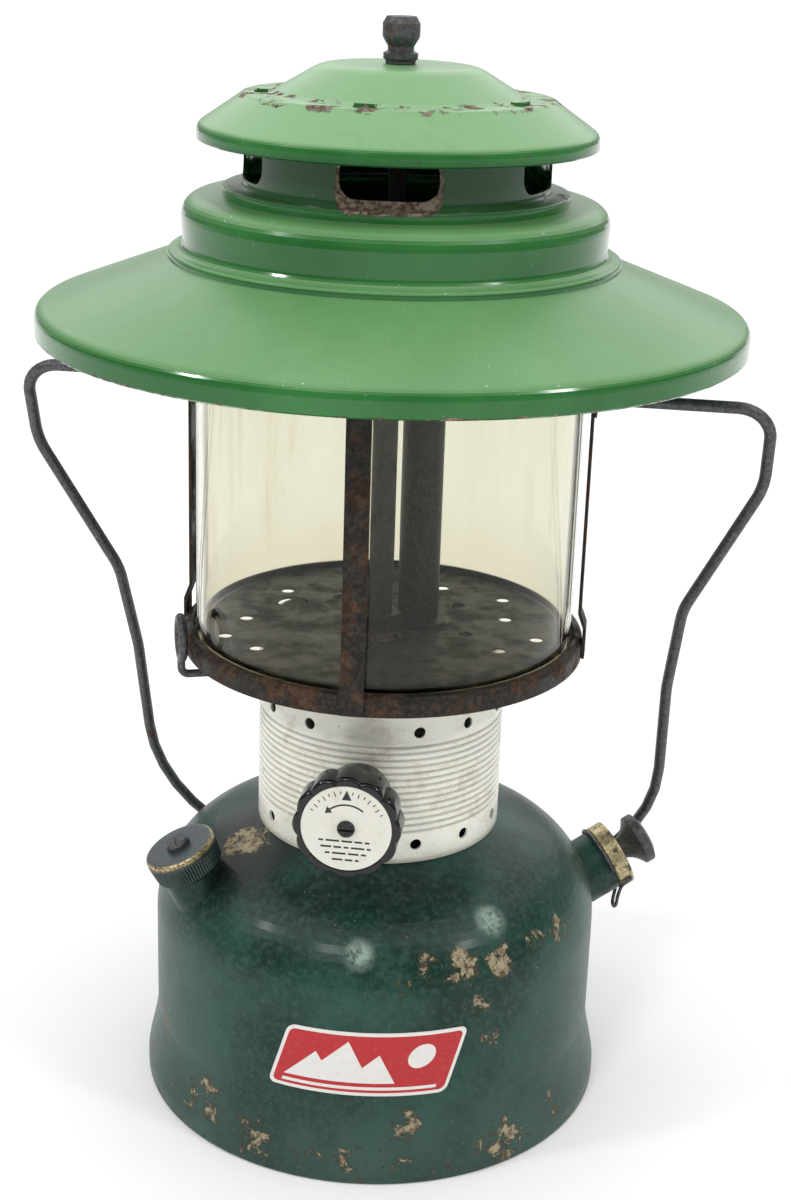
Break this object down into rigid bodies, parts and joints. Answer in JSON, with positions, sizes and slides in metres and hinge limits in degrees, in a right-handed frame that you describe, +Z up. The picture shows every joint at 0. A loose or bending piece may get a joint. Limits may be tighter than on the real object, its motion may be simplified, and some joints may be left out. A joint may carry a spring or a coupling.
{
  "type": "camping lantern",
  "caption": "Pressure camping lantern with a fuel tank, hand pump, ribbed collar, glass globe in a strap cage, wide enamelled hat, control knob and a wire bail.",
  "frame": {"origin": "centre of the foot ring, on the surface the lantern stands on", "axes": "+Z up along the lantern's axis; -Y is the front, where the control knob faces; the bail's pivots lie along X"},
  "size_m": [0.245, 0.2226, 0.3584],
  "materials": {
    "tank_paint": "worn satin",
    "hat_enamel": "gloss enamel",
    "dark_steel": "dark oxide",
    "rusty_steel": "rusted",
    "plain_steel": "dull",
    "brass": "tarnished",
    "collar_alloy": "dull satin",
    "label_enamel": "worn satin",
    "disc_enamel": "satin",
    "bakelite": "gloss",
    "rubber_seal": "matte",
    "leather_cup": "oiled",
    "burner_ceramic": "matte",
    "globe_glass": "clear, stained"
  },
  "bodies": {
    "lantern": {"tank_shell": "tank_paint", "tank_bottom": "dark_steel", "base_skirt": "tank_paint", "tank_label": "label_enamel", "filler_neck": "tank_paint", "pump_neck": "tank_paint", "pump_barrel": "brass", "check_valve": "brass", "pump_cap": "brass", "pump_clip": "dark_steel", "pickup_tube": "brass", "valve_body": "brass", "packing_nut": "brass", "collar": "collar_alloy", "base_plate": "rusty_steel", "cage_ring": "dark_steel", "strap_front": "rusty_steel", "strap_back": "rusty_steel", "strap_left": "rusty_steel", "strap_right": "rusty_steel", "globe": "globe_glass", "air_tube": "plain_steel", "generator_nut": "brass", "generator": "brass", "burner_head": "dark_steel", "burner_caps": "burner_ceramic", "burner_screens": "plain_steel", "center_stud": "plain_steel"},
    "knob_spindle": {"valve_stem": "plain_steel", "control_knob": "bakelite", "knob_disc": "disc_enamel", "knob_screw": "plain_steel"},
    "pump_piston": {"pump_cup": "leather_cup", "pump_spring": "plain_steel"},
    "pump_handle": {"pump_rod": "plain_steel", "pump_knob": "dark_steel"},
    "pump_air_stem": {"air_stem": "plain_steel"},
    "filler_plug": {"filler_insert": "brass", "filler_gasket": "rubber_seal"},
    "filler_top": {"filler_cap": "tank_paint", "filler_screw": "dark_steel"},
    "hat": {"heat_shield": "plain_steel", "vent_shade": "hat_enamel", "vent_collar": "hat_enamel", "vent_cap": "hat_enamel"},
    "hat_nut": {"ball_nut": "dark_steel"},
    "cleaner": {"cleaner_lever": "dark_steel"},
    "needle": {"cleaning_needle": "plain_steel"},
    "bail": {"bail": "dark_steel"}
  },
  "joints": [
    {"name": "bail_swing", "type": "hinge", "parent": "lantern", "child": "bail", "pos_m": [0, 0, 0.245], "axis": [1, 0, 0], "range_deg": [0, 318]},
    {"name": "control_knob_turn", "type": "hinge", "parent": "lantern", "child": "knob_spindle", "pos_m": [0, 0, 0.123], "axis": [0, -1, 0], "range_deg": [0, 450]},
    {"name": "pump_stroke", "type": "slide", "parent": "lantern", "child": "pump_piston", "axis": [0.8037, 0.4024, 0.4384], "range_m": [0, 0.06]},
    {"name": "pump_knob_turn", "type": "hinge", "parent": "pump_piston", "child": "pump_handle", "pos_m": [0.08037, 0.04024, 0.06634], "axis": [0.8037, 0.4024, 0.4384], "range_deg": [0, 720]},
    {"name": "air_stem_turn", "type": "hinge", "parent": "lantern", "child": "pump_air_stem", "pos_m": [0.08037, 0.04024, 0.06634], "axis": [0.8037, 0.4024, 0.4384], "range_deg": [0, 720]},
    {"name": "filler_cap_lift", "type": "slide", "parent": "lantern", "child": "filler_plug", "axis": [-0.3784, -0.1491, 0.9135], "range_m": [0, 0.00225]},
    {"name": "filler_cap_turn", "type": "hinge", "parent": "filler_plug", "child": "filler_top", "pos_m": [-0.0602, -0.0406, 0.0961], "axis": [-0.3784, -0.1491, 0.9135], "range_deg": [0, 540]},
    {"name": "hat_lift", "type": "slide", "parent": "lantern", "child": "hat", "axis": [0, 0, 1], "range_m": [0, 0.045]},
    {"name": "ball_nut_turn", "type": "hinge", "parent": "hat", "child": "hat_nut", "pos_m": [0, 0, 0.35], "axis": [0, 0, 1], "range_deg": [0, 1080]},
    {"name": "cleaner_turn", "type": "hinge", "parent": "lantern", "child": "cleaner", "pos_m": [-0.02805, -0.01965, 0.1535], "axis": [-0.9348, -0.3551, 0], "range_deg": [0, 90]},
    {"name": "needle_lift", "type": "slide", "parent": "lantern", "child": "needle", "axis": [0, 0, 1], "range_m": [-0.00157, 0]}
  ],
  "couplings": [
    {"joint": "air_stem_turn", "follows": "pump_knob_turn", "ratio": 1},
    {"joint": "filler_cap_turn", "follows": "filler_cap_lift", "rad_per_m": 4188.8},
    {"joint": "cleaner_turn", "follows": "needle_lift", "rad_per_m": -1000}
  ]
}
